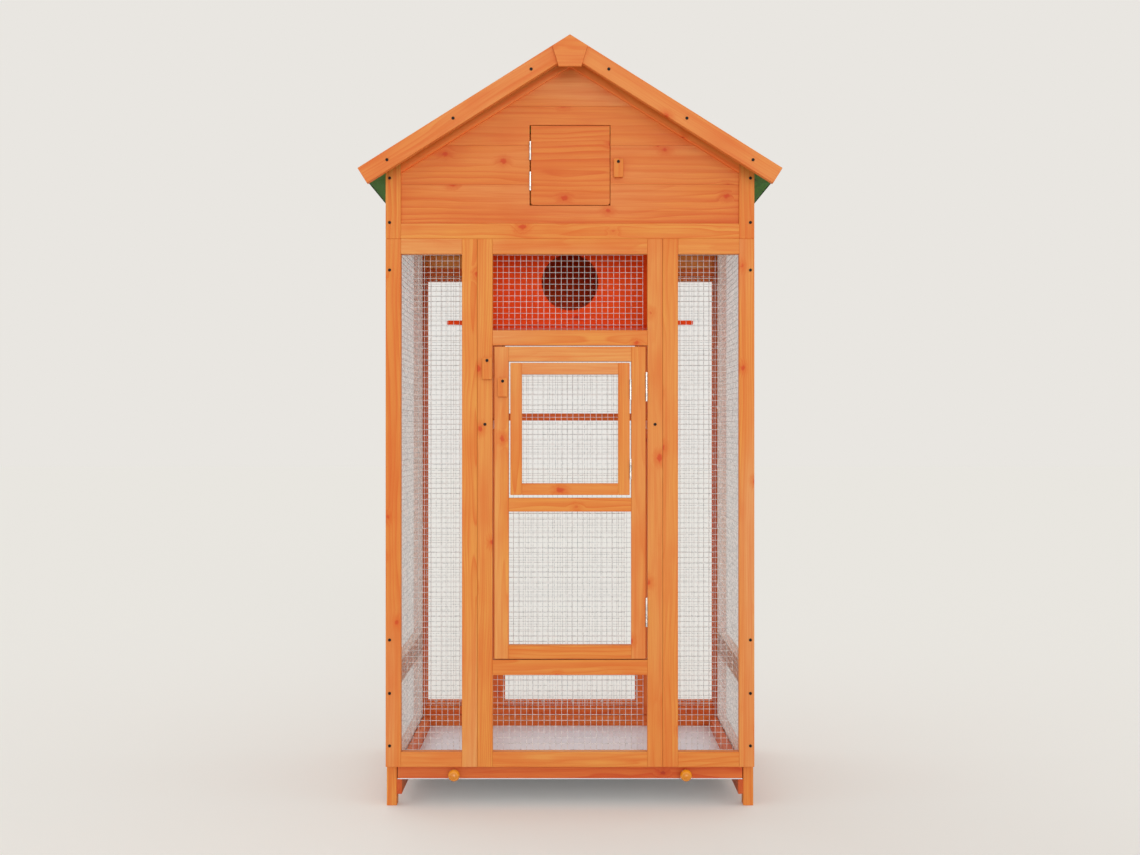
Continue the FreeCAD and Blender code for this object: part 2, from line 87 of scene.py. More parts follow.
def stained_wood(name, earlywood, latewood, pale, knot, roughness, ring_mm=5.5, knots=1.0):
    """Sawn softwood under a stain: rings round a pith, fibres, knots and end grain."""
    wood, tree, shader = bare_finish(name)
    early, late, core = linear(earlywood), linear(latewood), linear(knot)
    soft = {"interpolation_type": "SMOOTHSTEP"}
    board = add(tree, "ShaderNodeAttribute", {}, attribute_name="board").outputs["Vector"]
    tone = add(tree, "ShaderNodeAttribute", {}, attribute_name="tone").outputs["Fac"]
    end = add(tree, "ShaderNodeAttribute", {}, attribute_name="end").outputs["Fac"]
    # A second random share for each board, drawn from its tone
    thirst = add(tree, "ShaderNodeMath", {0: tone, 1: 7.0}, operation="MULTIPLY")
    thirst = add(tree, "ShaderNodeMath", {0: thirst}, operation="FRACT")

    # Noises that run with the board, in cells per metre along and across the grain. The fibres
    # are drawn 2 mm across, coarser than real ones, so that they show.
    noise = {}
    for layer, along, across, detail in (("wander", 2.6, 20, 2), ("patch", 1.3, 9, 1),
                                         ("fibre", 14, 520, 2), ("blotch", 6, 16, 2),
                                         ("streak", 2.2, 90, 2)):
        place = add(tree, "ShaderNodeVectorMath", {0: board, 1: (along, across, across)},
                    operation="MULTIPLY")
        noise[layer] = add(tree, "ShaderNodeTexNoise",
                           {"Vector": place, "Scale": 1.0, "Detail": detail})

    # Knots: one in each 85 by 120 mm of a board, 2 to 10 mm across, with a ruffled edge of 8 mm
    # waves and a stained halo of 16 mm
    cell, stretch, ruffle = 85 * MM, 0.7, 9 * MM
    ragged = add(tree, "ShaderNodeTexNoise", {"Vector": board, "Scale": 130.0, "Detail": 2.0})
    ragged = add(tree, "ShaderNodeVectorMath", {0: ragged.outputs["Color"], 1: (0.5, 0.5, 0.5)},
                 operation="SUBTRACT")
    warped = add(tree, "ShaderNodeVectorMath", {0: ragged, 1: (ruffle, ruffle, ruffle), 2: board},
                 operation="MULTIPLY_ADD")
    flat = add(tree, "ShaderNodeVectorMath", {0: warped, 1: (stretch / cell, 1 / cell, 0)},
               operation="MULTIPLY")
    cells = add(tree, "ShaderNodeTexVoronoi", {"Vector": flat, "Scale": 1.0},
                voronoi_dimensions="2D")
    from_knot = add(tree, "ShaderNodeMath", {0: cells.outputs["Distance"], 1: cell},
                    operation="MULTIPLY")
    luck = add(tree, "ShaderNodeSeparateColor", {"Color": cells.outputs["Color"]})
    luck = add(tree, "ShaderNodeMath", {0: luck, 1: 2.6}, operation="POWER")
    knot_r = add(tree, "ShaderNodeMapRange",
                 {0: luck, 1: 0.03, 2: 1.0, 3: 0.0, 4: 5.4 * MM * knots})
    present = add(tree, "ShaderNodeMapRange",
                  {0: knot_r, 1: 0.2 * MM, 2: 1.6 * MM, 3: 0.0, 4: 1.0}, **soft)
    edge = add(tree, "ShaderNodeMath", {0: from_knot, 1: knot_r}, operation="SUBTRACT")
    middle = add(tree, "ShaderNodeMapRange",
                 {0: edge, 1: -1 * MM, 2: 2.8 * MM, 3: 1.0, 4: 0.0}, **soft)
    middle = add(tree, "ShaderNodeMath", {0: middle, 1: present}, operation="MULTIPLY")
    halo = add(tree, "ShaderNodeMapRange", {0: edge, 1: 0.0, 2: 16 * MM, 3: 1.0, 4: 0.0}, **soft)
    halo = add(tree, "ShaderNodeMath", {0: halo, 1: present}, operation="MULTIPLY")

    # Growth rings round the pith, which wander by 30 mm and bulge by 6 mm round the knots
    radius = add(tree, "ShaderNodeVectorMath", {0: board, 1: (0, 1, 1)}, operation="MULTIPLY")
    radius = add(tree, "ShaderNodeVectorMath", {0: radius}, operation="LENGTH")
    for bulge, reach in ((noise["wander"], 30 * MM), (halo, 6 * MM)):
        radius = add(tree, "ShaderNodeMath", {0: bulge, 1: reach, 2: radius},
                     operation="MULTIPLY_ADD")
    growth = add(tree, "ShaderNodeMath", {0: tone, 1: 0.6 * ring_mm * MM, 2: 0.75 * ring_mm * MM},
                 operation="MULTIPLY_ADD")
    years = add(tree, "ShaderNodeMath", {0: radius, 1: growth}, operation="DIVIDE")
    year = add(tree, "ShaderNodeMath", {0: years}, operation="FRACT")
    darken = add(tree, "ShaderNodeMath", {0: year, 1: 2.2}, operation="POWER")
    fade = add(tree, "ShaderNodeMapRange", {0: year, 1: 0.9, 2: 1.0, 3: 1.0, 4: 0.0}, **soft)
    line = add(tree, "ShaderNodeMath", {0: darken, 1: fade}, operation="MULTIPLY")
    strength = add(tree, "ShaderNodeMapRange",
                   {0: noise["patch"], 1: 0.35, 2: 0.7, 3: 0.25, 4: 0.95}, **soft)
    rings = add(tree, "ShaderNodeMath", {0: line, 1: strength}, operation="MULTIPLY")

    # Colour: thirsty boards pale in patches, and each layer then moves it towards the dark late
    # wood, and knots and end grain darker still
    thirst = add(tree, "ShaderNodeMapRange", {0: thirst, 1: 0.0, 2: 1.0, 3: 0.15, 4: 1.0})
    bleached = add(tree, "ShaderNodeMapRange",
                   {0: noise["patch"], 1: 0.3, 2: 0.58, 3: 0.85, 4: 0.0}, **soft)
    bleached = add(tree, "ShaderNodeMath", {0: bleached, 1: thirst}, operation="MULTIPLY")
    share = {"rings": rings}
    for layer, source, most in (("tone", tone, 0.25), ("halo", halo, 0.6), ("knot", middle, 0.75),
                                ("end", end, 0.4)):
        share[layer] = add(tree, "ShaderNodeMath", {0: source, 1: most}, operation="MULTIPLY")
    for layer, low, high, most in (("blotch", 0.42, 0.8, 0.5), ("streak", 0.4, 0.75, 0.5),
                                   ("fibre", 0.3, 0.75, 0.28)):
        share[layer] = add(tree, "ShaderNodeMapRange",
                           {0: noise[layer], 1: low, 2: high, 3: 0.0, 4: most}, **soft)
    colour = add(tree, "ShaderNodeMix", {0: bleached, 6: early, 7: linear(pale)}, data_type="RGBA")
    for layer in ("tone", "blotch", "streak", "rings", "fibre", "halo", "knot", "end"):
        towards = core if layer in ("knot", "end") else late
        colour = add(tree, "ShaderNodeMix", {0: share[layer], 6: colour, 7: towards},
                     data_type="RGBA")
    tree.links.new(colour.outputs[2], shader.inputs["Base Color"])
    dull = add(tree, "ShaderNodeMapRange", {0: noise["fibre"], 1: 0.3, 2: 0.7,
                                            3: roughness + 0.06, 4: roughness - 0.06})
    tree.links.new(dull.outputs[0], shader.inputs["Roughness"])
    height = add(tree, "ShaderNodeMath", {0: rings, 1: 1.2, 2: noise["fibre"]},
                 operation="MULTIPLY_ADD")
    bump = add(tree, "ShaderNodeBump", {"Height": height, "Strength": 0.35, "Distance": 0.2 * MM})
    tree.links.new(bump.outputs[0], shader.inputs["Normal"])
    shader.inputs["Specular IOR Level"].default_value = 0.3
    return wood


# Pine in a translucent orange stain: the soft early wood drinks it light and yellow, the hard
# late wood and the knots redder. The ring lines are drawn 5.5 mm apart so that they show.
stained_pine = stained_wood("stained_pine", "#E89E48", "#DA641C", "#E8AA6E", "#D03C0A", 0.55)


def mark_grain(board, along, across):
    """Stores where each point lies in its own log, which the wood's pattern follows.

    The board is sawn from anywhere along the log, 16 to 70 mm from the pith, and its grain
    runs out by about a hundredth.
    """
    mesh = board.data
    middle = sum((v.co for v in mesh.vertices), Vector()) / len(mesh.vertices)
    through = along.cross(across)
    side = draw.choice((-1, 1))
    start = Vector((draw.uniform(0, 40), side * draw.uniform(0, 0.05), draw.uniform(0.016, 0.07)))
    lean = Vector((draw.uniform(-0.012, 0.012), draw.uniform(-0.01, 0.01)))
    shade = draw.random()
    for layer, kind, domain in (("board", "FLOAT_VECTOR", "POINT"), ("tone", "FLOAT", "POINT"),
                                ("end", "FLOAT", "FACE")):
        mesh.attributes.new(layer, kind, domain)
    places, tones, ends = (mesh.attributes[layer].data for layer in ("board", "tone", "end"))
    for vertex in mesh.vertices:
        at = vertex.co - middle
        x = at.dot(along)
        offset = Vector((x, at.dot(across) + lean.x * x, at.dot(through) + lean.y * x))
        places[vertex.index].vector = start + offset
        tones[vertex.index].value = shade
    for face in mesh.polygons:
        ends[face.index].value = 1.0 if abs(face.normal.dot(along)) > 0.8 else 0.0


def apply_modifier(item, kind, **settings):
    """Adds one modifier with its settings and applies it."""
    bpy.context.view_layer.objects.active = item
    modifier = item.modifiers.new(kind.lower(), kind)
    for name, value in settings.items():
        setattr(modifier, name, value)
    bpy.ops.object.modifier_apply(modifier=modifier.name)


def timber(x, y, z, grain, tilt=0.0, cuts=(), hole=None, arris=ARRIS, rounding=None):
    """Board that fills three spans in millimetres, with its grain along axis 0, 1 or 2.

    A tilt turns it about the ridge line. Each cut is a point and a normal, and what lies beyond
    it comes off. A hole is a cutter that is used up. A rounding is the radius of its corners,
    seen from the front, and the height that they lie under.
    """
    bpy.ops.object.select_all(action="DESELECT")
    spans = [sorted(span) for span in (x, y, z)]
    middle = [(low + high) / 2 * MM for low, high in spans]
    size = [(high - low) * MM for low, high in spans]
    bpy.ops.mesh.primitive_cube_add(size=1, location=middle, scale=size)
    bpy.ops.object.transform_apply()
    board = bpy.context.object
    bpy.ops.object.mode_set(mode="EDIT")
    if tilt:
        bpy.ops.transform.rotate(value=-tilt, orient_axis="Y", center_override=RIDGE)
    for point, normal in cuts:
        bpy.ops.mesh.select_all(action="SELECT")
        bpy.ops.mesh.bisect(plane_co=Vector(point) * MM, plane_no=normal, use_fill=True,
                            clear_outer=True)
    if rounding:
        radius, top = rounding
        bpy.ops.mesh.select_all(action="DESELECT")
        bpy.ops.object.mode_set(mode="OBJECT")
        points = board.data.vertices
        for edge in board.data.edges:
            low, high = (points[index].co for index in edge.vertices)
            edge.select = abs(low.y - high.y) > 0 and low.z < top * MM
        bpy.ops.object.mode_set(mode="EDIT")
        bpy.ops.mesh.select_mode(type="EDGE")
        bpy.ops.mesh.bevel(offset=radius * MM, segments=4)
    bpy.ops.object.mode_set(mode="OBJECT")
    if hole:
        apply_modifier(board, "BOOLEAN", object=hole, operation="DIFFERENCE", solver="EXACT")
        bpy.data.objects.remove(hole)
    apply_modifier(board, "BEVEL", width=arris * MM, segments=2, limit_method="ANGLE",
                   angle_limit=math.radians(30))
    others = sorted((axis for axis in range(3) if axis != grain), key=lambda axis: -size[axis])
    turn = Matrix.Rotation(tilt, 3, "Y")
    mark_grain(board, turn @ AXES[grain], turn @ AXES[others[0]])
    return board


def fit(name, parts, body, finish, slot, *nodes):
    """Joins parts into one piece that rides on a body and stands for these CAD nodes."""
    bpy.ops.object.select_all(action="DESELECT")
    for part in parts:
        part.select_set(True)
    bpy.context.view_layer.objects.active = parts[0]
    if len(parts) > 1:
        bpy.ops.object.join()
    piece = parts[0]
    piece.name = name
    piece.data.name = name
    piece.data.materials.clear()
    piece.data.materials.append(finish)
    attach(piece, body)
    if nodes:
        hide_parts(*nodes)


leg_y = (INNER_Y - BATTEN, INNER_Y)
for word, side in (("left", -1), ("right", 1)):
    thickness = (side * (HALF_W - THICK), side * HALF_W)
    parts = [timber(thickness, (end * leg_y[0], end * leg_y[1]), (0, LEG_TOP), 2)
             for end in (-1, 1)]
    parts += [timber(thickness, (-leg_y[0], leg_y[0]), rail, 1) for rail in SIDE_RAILS]
    fit(word + "_side_battens", parts, "root", stained_pine, "stained_pine", word + "_side_frame")

# Front and rear walls. Three frames stand side by side, each of two stiles with rails butted
# between them, in the same stained battens. The centre front frame also has a rail under and
# over the doorway. Two cleats tie the rear frames together near the floor.
WALL_Z = (88.5, 1234.5)
REAR_FOOT = 84.5
SEAM_X = 201
SEAM_GAP = 0.4
FOOT_RAIL_TOP = WALL_Z[0] + BATTEN
HEAD_RAIL = (WALL_Z[1] - BATTEN, WALL_Z[1])
DOORWAY_RAILS = ((288, 321), (1003, 1036))
CLEAT_REACH = 96.5
CLEAT_Y = (303.5, INNER_Y)
CLEAT_Z = (86.1, 107.6)
# Painted shade: the same pine, redder, for the boards that stand in the shade inside the cage, and
# a little smoother
shade_red_pine = stained_wood("pine_in_painted_red_shade", "#E47C34", "#CC4A14", "#E28A48", "#B03210", 0.5)
# The rear frames stand in the cage's shade and get the redder pine: painted shade
for word, end, foot, wood in (("front", -1, WALL_Z[0], stained_pine),
                              ("rear", 1, REAR_FOOT, shade_red_pine)):
    y = (end * INNER_Y, end * HALF_D)
    z = (foot, WALL_Z[1])
    for name, low, high in (("left", -HALF_W, -SEAM_X - SEAM_GAP), ("centre", -SEAM_X, SEAM_X),
                            ("right", SEAM_X + SEAM_GAP, HALF_W)):
        rails = ((foot, FOOT_RAIL_TOP), HEAD_RAIL)
        if word == "front" and name == "centre":
            rails += DOORWAY_RAILS
        parts = [timber(stile, y, z, 2) for stile in ((low, low + BATTEN), (high - BATTEN, high))]
        parts += [timber((low + BATTEN, high - BATTEN), y, rail, 0) for rail in rails]
        fit(f"{word}_{name}_battens", parts, "root", wood, "stained_pine", f"{word}_{name}_frame")
# The cleats are in the same redder pine of painted shade
parts = [timber((seam - CLEAT_REACH, seam + CLEAT_REACH), CLEAT_Y, CLEAT_Z, 0)
         for seam in (-SEAM_X, SEAM_X)]
fit("rear_cleats", parts, "root", shade_red_pine, "stained_pine", "frame_cleats")

# Nets. Welded wire mesh with half-inch openings, stapled to the inner face of every frame.
# Round steel wire, welded where it crosses and then dipped in zinc, cut a little short of the
# opening on some sides, as sold from the roll.
WIRE_R = 0.5
WIRE_PITCH = 12.7
NET_T = 1.2
NET_Z = (108.5, 1214.5)
SIDE_NET_Y = (-286.5, 286.5)
SIDE_NET_Z = (75, 1375.3)


def galvanised(name, colour, roughness, spangle_mm, metal):
    """Zinc coat on steel: a dull metal with faint crystals that catch the light unevenly."""
    zinc, tree, shader = bare_finish(name)
    place = add(tree, "ShaderNodeTexCoord", {}).outputs["Object"]
    crystals = add(tree, "ShaderNodeTexVoronoi", {"Vector": place, "Scale": 1 / (spangle_mm * MM)})
    grey = add(tree, "ShaderNodeSeparateColor", {"Color": crystals.outputs["Color"]}).outputs[0]
    # Slow clouds of 25 mm in the coat
    dull = add(tree, "ShaderNodeTexNoise", {"Vector": place, "Scale": 40.0, "Detail": 3.0})
    mixed = add(tree, "ShaderNodeMix", {0: grey, 6: linear(colour), 7: linear("#B9BDC0")},
                data_type="RGBA")
    tree.links.new(mixed.outputs[2], shader.inputs["Base Color"])
    shader.inputs["Metallic"].default_value = metal
    rough = add(tree, "ShaderNodeMapRange",
                {0: dull, 1: 0.3, 2: 0.7, 3: roughness - 0.08, 4: roughness + 0.1})
    tree.links.new(rough.outputs[0], shader.inputs["Roughness"])
    bump = add(tree, "ShaderNodeBump", {"Height": dull, "Strength": 0.3, "Distance": 0.2 * MM})
    tree.links.new(bump.outputs[0], shader.inputs["Normal"])
    return zinc


# Bright hot-dipped zinc: pale grey and half dull. The crystals are drawn 4 mm wide.
galvanised_wire = galvanised("galvanised_wire", "#F4F5F6", 0.46, 4, 0.5)


def wires(middle, turn, length, count, step):
    """Parallel wires: one six-sided rod, repeated at an even step."""
    bpy.ops.object.select_all(action="DESELECT")
    bpy.ops.mesh.primitive_cylinder_add(vertices=6, radius=WIRE_R * MM, depth=length * MM,
                                        location=Vector(middle) * MM, rotation=turn)
    bpy.ops.object.transform_apply()
    rod = bpy.context.object
    apply_modifier(rod, "ARRAY", count=count, use_relative_offset=False,
                   use_constant_offset=True, constant_offset_displace=Vector(step) * MM)
    return rod


# One staple, lying on its legs: a flat crown with a leg drawn down at each end
STAPLE_L = 9
STAPLE_W = 1.2
STAPLE_T = 0.8
STAPLE_LEG = 4
STAPLE_IN = 11.3
STAPLE_EDGE = 3
bpy.ops.object.select_all(action="DESELECT")
bpy.ops.mesh.primitive_cube_add(size=1, location=(0, 0, STAPLE_T / 2 * MM),
                                scale=(STAPLE_L * MM, STAPLE_W * MM, STAPLE_T * MM))
bpy.ops.object.transform_apply()
staple = bpy.context.object
leg_x = STAPLE_L / 2 - STAPLE_T
bpy.ops.object.mode_set(mode="EDIT")
for side in (-1, 1):
    bpy.ops.mesh.select_all(action="SELECT")
    bpy.ops.mesh.bisect(plane_co=(side * leg_x * MM, 0, 0), plane_no=(1, 0, 0))
bpy.ops.mesh.select_all(action="DESELECT")
bpy.ops.object.mode_set(mode="OBJECT")
for face in staple.data.polygons:
    face.select = face.normal.z < -0.9 and abs(face.center.x) > leg_x * MM
bpy.ops.object.mode_set(mode="EDIT")
bpy.ops.mesh.select_mode(type="FACE")
bpy.ops.mesh.extrude_region_move(TRANSFORM_OT_translate={"value": (0, 0, -STAPLE_LEG * MM)})
bpy.ops.object.mode_set(mode="OBJECT")
apply_modifier(staple, "BEVEL", width=0.2 * MM, segments=1, limit_method="ANGLE")


def net(name, body, u, z, face, inward, node, stapled_ends=(0, 1), sideways=False):
    """Net on a frame's inner face: u is its span along the wall, and a side wall's is sideways."""
    columns = int((u[1] - u[0]) / WIRE_PITCH)
    rows = int((z[1] - z[0]) / WIRE_PITCH)
    mid_u, mid_z = sum(u) / 2, sum(z) / 2
    low_u, low_z = mid_u - columns * WIRE_PITCH / 2, mid_z - rows * WIRE_PITCH / 2
    near, far, top = (face + inward * depth for depth in (WIRE_R, NET_T - WIRE_R, NET_T))

    def at(along, depth, up):
        return (depth, along, up) if sideways else (along, depth, up)

    lying = (math.pi / 2, 0, 0) if sideways else (0, math.pi / 2, 0)
    uprights = wires(at(low_u, far, mid_z), (0, 0, 0), z[1] - z[0], columns + 1,
                     at(WIRE_PITCH, 0, 0))
    levels = wires(at(mid_u, near, low_z), lying, columns * WIRE_PITCH + 2, rows + 1,
                   at(0, 0, WIRE_PITCH))
    out = inward * AXES[0 if sideways else 1]
    flat = AXES[1 if sideways else 0]
    level_run = [(low_u + i * WIRE_PITCH, up) for up in (z[0] + STAPLE_IN, z[1] - STAPLE_IN)
                 for i in range(2, columns - 1, 6)]
    upright_run = [(u[k] + (STAPLE_EDGE, -STAPLE_EDGE)[k], low_z + i * WIRE_PITCH)
                   for k in stapled_ends for i in range(3, rows - 1, 12)]
    staples = []
    for spots, run in ((level_run, flat), (upright_run, AXES[2])):
        for along, up in spots:
            copy = staple.copy()
            copy.data = staple.data.copy()
            bpy.context.scene.collection.objects.link(copy)
            turn = Matrix((run, out.cross(run), out)).transposed().to_4x4()
            copy.matrix_world = Matrix.Translation(Vector(at(along, top, up)) * MM) @ turn
            staples.append(copy)
    fit(name, [uprights, levels] + staples, body, galvanised_wire, "galvanised_wire", node)


# The front nets stop short of the stile on their right, so only their left end is stapled
for name, u, z in (("front_left", (-373, -236.6), NET_Z), ("front_right", (228, 355), NET_Z),
                   ("front_top", (-174, 161.5), (1023, 1214.5)),
                   ("front_foot", (-174, 162.5), (108.5, 301))):
    net(name + "_net", "root", u, z, -INNER_Y, 1, name + "_mesh", (0,))
for name, u in (("rear_left", (-373, -228)), ("rear_centre", (-174, 174)),
                ("rear_right", (228, 373))):
    net(name + "_net", "root", u, NET_Z, INNER_Y, -1, name + "_mesh")
for word, side in (("left", -1), ("right", 1)):
    net(word + "_side_net", "root", SIDE_NET_Y, SIDE_NET_Z, side * (HALF_W - THICK), -side,
        word + "_side_mesh", sideways=True)

# Gables. A foot rail, two corner stiles and two raking rails of the same battens frame level
# planks, which sit 6 mm back from the face. The front planks are notched for the hatch.
ROOF_T = 15
GABLE_FOOT = (WALL_Z[1], WALL_Z[1] + BATTEN)
GABLE_X = HALF_W - BATTEN
PLANK_Y = (319.5, 329.5)
PLANK_COURSE = 85.1
PLANK_GAP = 0.2
HATCHWAY = ((-87.8, 87.8), (1307, 1482))
RAKE_L = 500
# Raking rails: the same pine, painted brighter and redder, as painted light against the barges'
# shade and the red of deep shade
rake_pine = stained_wood("stained_pine_rakes", "#FF9646", "#F4661A", "#F8A060", "#CC3A0A", 0.5)
# Wide planks cut nearer the bark: the same stain, with the rings drawn 9 mm apart
plank_pine = stained_wood("stained_pine_planks", "#E68E40", "#D45C1E", "#E69C60", "#CC3A0A", 0.55,
                          ring_mm=9)


def under_roof(x, depth):
    """Height at x of the line that lies this deep under the roof's top, square to the slope."""
    return RIDGE_Z - abs(x) * math.tan(PITCH) - depth / math.cos(PITCH)


def roof_cut(side, depth):
    """Cut along one slope, this deep under the roof's top."""
    return (0, 0, under_roof(0, depth)), (side * math.sin(PITCH), 0, math.cos(PITCH))


def block(x, y, z):
    """Plain block over three spans, to cut with or to shape further."""
    bpy.ops.object.select_all(action="DESELECT")
    middle = [sum(span) / 2 * MM for span in (x, y, z)]
    size = [abs(span[1] - span[0]) * MM for span in (x, y, z)]
    bpy.ops.mesh.primitive_cube_add(size=1, location=middle, scale=size)
    bpy.ops.object.transform_apply()
    return bpy.context.object


for word, end in (("front", -1), ("rear", 1)):
    y = (end * INNER_Y, end * HALF_D)
    parts = [timber((-GABLE_X, GABLE_X), y, GABLE_FOOT, 0)]
    rakes = []
    for side in (-1, 1):
        parts.append(timber((side * GABLE_X, side * HALF_W), y,
                            (WALL_Z[1], under_roof(GABLE_X, 0)), 2, cuts=[roof_cut(side, ROOF_T)]))
        rakes.append(timber((0, side * RAKE_L), y, (RIDGE_Z - ROOF_T - BATTEN, RIDGE_Z - ROOF_T), 0,
                            tilt=side * PITCH, cuts=[((0, 0, 0), (-side, 0, 0)),
                                                     ((side * GABLE_X, 0, 0), (side, 0, 0))]))
    frame_node = word + "_gable_frame"
    fit(word + "_gable_battens", parts, "root", stained_pine, "stained_pine", frame_node)
    fit(word + "_raking_rails", rakes, "root", rake_pine, "stained_pine", frame_node)
    y = (end * PLANK_Y[0], end * PLANK_Y[1])
    parts = []
    for i in range(4):
        foot = GABLE_FOOT[1] + i * PLANK_COURSE
        notched = word == "front" and foot < HATCHWAY[1][1]
        way = block(HATCHWAY[0], (-HALF_D, 0), HATCHWAY[1]) if notched else None
        parts.append(timber((-GABLE_X, GABLE_X), y, (foot, foot + PLANK_COURSE - PLANK_GAP), 0,
                            hole=way, arris=0.3,
                            cuts=[roof_cut(side, ROOF_T + BATTEN) for side in (-1, 1)]))
    fit(word + "_gable_planks", parts, "root", plank_pine, "stained_pine", word + "_gable_boards")

# Roof. A beam under the ridge carries six level boards on each slope. They are pine in a green
# stain, which shows from below at the eaves.
DECK_END = 370.5
SLOPE_L = 536.3
FELT_T = 3
DECK_COUNT = 6
DECK_GAP = 0.6
LIP_T = 1.5
BEAM_FOOT = 1596.9
# Pine under a green stain: dull, with the rings and knots showing through darker
green_pine = stained_wood("green_stained_pine", "#3C9E30", "#2A7824", "#50A644", "#1F4A1C", 0.6)
beam = timber((-BATTEN / 2, BATTEN / 2), (-INNER_Y, INNER_Y), (BEAM_FOOT, RIDGE_Z), 1,
              cuts=[roof_cut(side, ROOF_T) for side in (-1, 1)])
fit("ridge_batten", [beam], "root", stained_pine, "stained_pine", "ridge_beam")
for word, side in (("left", -1), ("right", 1)):
    parts = []
    step = (SLOPE_L - LIP_T) / DECK_COUNT
    for i in range(DECK_COUNT):
        x = (side * i * step, side * ((i + 1) * step - DECK_GAP))
        cuts = [((0, 0, 0), (-side, 0, 0))] if i == 0 else []
        parts.append(timber(x, (-DECK_END, DECK_END), (RIDGE_Z - ROOF_T, RIDGE_Z - FELT_T), 1,
                            tilt=side * PITCH, cuts=cuts))
    fit(word + "_deck_boards", parts, "root", green_pine, "green_roof_board", word + "_roof_board")

# Roof covering. Green mineral felt in two courses on each slope, the upper lapped over the
# lower, with a strip over the ridge and a lip turned down at the eave. Galvanised clout nails
# hold the laps. Each stop is a distance down from the ridge, and the depth of the felt's top.
FELT_SHEET = 1.5
LOWER_COURSE = ((255, FELT_SHEET), (SLOPE_L - LIP_T, FELT_SHEET))
UPPER_COURSE = ((0, FELT_SHEET), (240, FELT_SHEET), (256, 0), (300, 0))
RIDGE_STRIP = ((0, 0), (110, 0))
NAIL_ROWS = ((98, 0), (286, 0), (522, FELT_SHEET))
NAILS_IN_ROW = 9
NAIL_STEP = 85
NAIL_R = 4.5
NAIL_T = 1.2


def mineral_felt():
    """Bitumen felt with green grit: fine speckle, slow fading and no shine."""
    felt, tree, shader = bare_finish("green_mineral_felt")
    place = add(tree, "ShaderNodeTexCoord", {}).outputs["Object"]
    # Grit of 1 mm is drawn at 2.5 mm, so that it shows
    grit = add(tree, "ShaderNodeTexVoronoi", {"Vector": place, "Scale": 1 / (2.5 * MM)})
    speck = add(tree, "ShaderNodeSeparateColor", {"Color": grit.outputs["Color"]}).outputs[0]
    # Slow fading in clouds of 170 mm
    fading = add(tree, "ShaderNodeTexNoise", {"Vector": place, "Scale": 6.0, "Detail": 4.0})
    plain = add(tree, "ShaderNodeMix", {0: fading, 6: linear("#2F5236"), 7: linear("#4C7450")},
                data_type="RGBA")
    pale = add(tree, "ShaderNodeMapRange", {0: speck, 1: 0.55, 2: 1.0, 3: 0.0, 4: 0.36})
    specked = add(tree, "ShaderNodeMix", {0: pale, 6: plain, 7: linear("#8CA389")},
                  data_type="RGBA")
    tree.links.new(specked.outputs[2], shader.inputs["Base Color"])
    shader.inputs["Roughness"].default_value = 0.88
    shader.inputs["Specular IOR Level"].default_value = 0.3
    bump = add(tree, "ShaderNodeBump",
               {"Height": grit.outputs["Distance"], "Strength": 0.6, "Distance": 0.8 * MM})
    tree.links.new(bump.outputs[0], shader.inputs["Normal"])
    return felt


def lay_on_slope(side):
    """Turns what is selected in edit mode from the level down one slope."""
    bpy.ops.transform.rotate(value=-side * PITCH, orient_axis="Y", center_override=RIDGE)


def felt_strip(side, stops, cut_ridge):
    """Strip of felt down one slope, through its stops, which may be cut off at the ridge."""
    (start, depth), (first, _) = stops[:2]
    strip = block((side * start, side * first), (-DECK_END, DECK_END),
                  (RIDGE_Z - depth - FELT_SHEET, RIDGE_Z - depth))
    bpy.ops.object.mode_set(mode="EDIT")
    bpy.ops.mesh.select_mode(type="FACE")
    for (here, depth), (there, next_depth) in zip(stops[1:], stops[2:]):
        bpy.ops.mesh.select_all(action="DESELECT")
        bpy.ops.object.mode_set(mode="OBJECT")
        for face in strip.data.polygons:
            at_end = abs(face.center.x - side * here * MM) < 0.1 * MM
            face.select = face.normal.x * side > 0.9 and at_end
        bpy.ops.object.mode_set(mode="EDIT")
        move = Vector((side * (there - here), 0, depth - next_depth)) * MM
        bpy.ops.mesh.extrude_region_move(TRANSFORM_OT_translate={"value": move})
    bpy.ops.mesh.select_all(action="SELECT")
    lay_on_slope(side)
    if cut_ridge:
        bpy.ops.mesh.bisect(plane_co=(0, 0, 0), plane_no=(-side, 0, 0), use_fill=True,
                            clear_outer=True)
    bpy.ops.object.mode_set(mode="OBJECT")
    return strip


def nail_head(side, along, y, depth):
    """Broad flat head of one clout nail, on the slope."""
    bpy.ops.object.select_all(action="DESELECT")
    spot = Vector((side * along, y, RIDGE_Z - depth)) * MM
    bpy.ops.mesh.primitive_cylinder_add(vertices=12, radius=NAIL_R * MM, depth=NAIL_T * MM,
                                        location=spot)
    bpy.ops.object.transform_apply()
    bpy.ops.object.mode_set(mode="EDIT")
    lay_on_slope(side)
    bpy.ops.object.mode_set(mode="OBJECT")
    nail = bpy.context.object
    apply_modifier(nail, "BEVEL", width=0.3 * MM, segments=1, limit_method="ANGLE")
    return nail


parts = []
nails = []
for side in (-1, 1):
    parts.append(felt_strip(side, LOWER_COURSE, False))
    parts.append(felt_strip(side, UPPER_COURSE, True))
    parts.append(felt_strip(side, RIDGE_STRIP, True))
    lip = block((side * (SLOPE_L - LIP_T), side * SLOPE_L), (-DECK_END, DECK_END),
                (RIDGE_Z - ROOF_T, RIDGE_Z - FELT_SHEET))
    bpy.ops.object.mode_set(mode="EDIT")
    lay_on_slope(side)
    bpy.ops.object.mode_set(mode="OBJECT")
    parts.append(lip)
    for along, depth in NAIL_ROWS:
        for i in range(NAILS_IN_ROW):
            y = (i - (NAILS_IN_ROW - 1) / 2) * NAIL_STEP
            nails.append(nail_head(side, along, y, depth))
fit("felt_covering", parts, "root", mineral_felt(), "green_roof_felt", "roof_felt")
fit("clout_nails", nails, "root", galvanised_wire, "galvanised_wire")

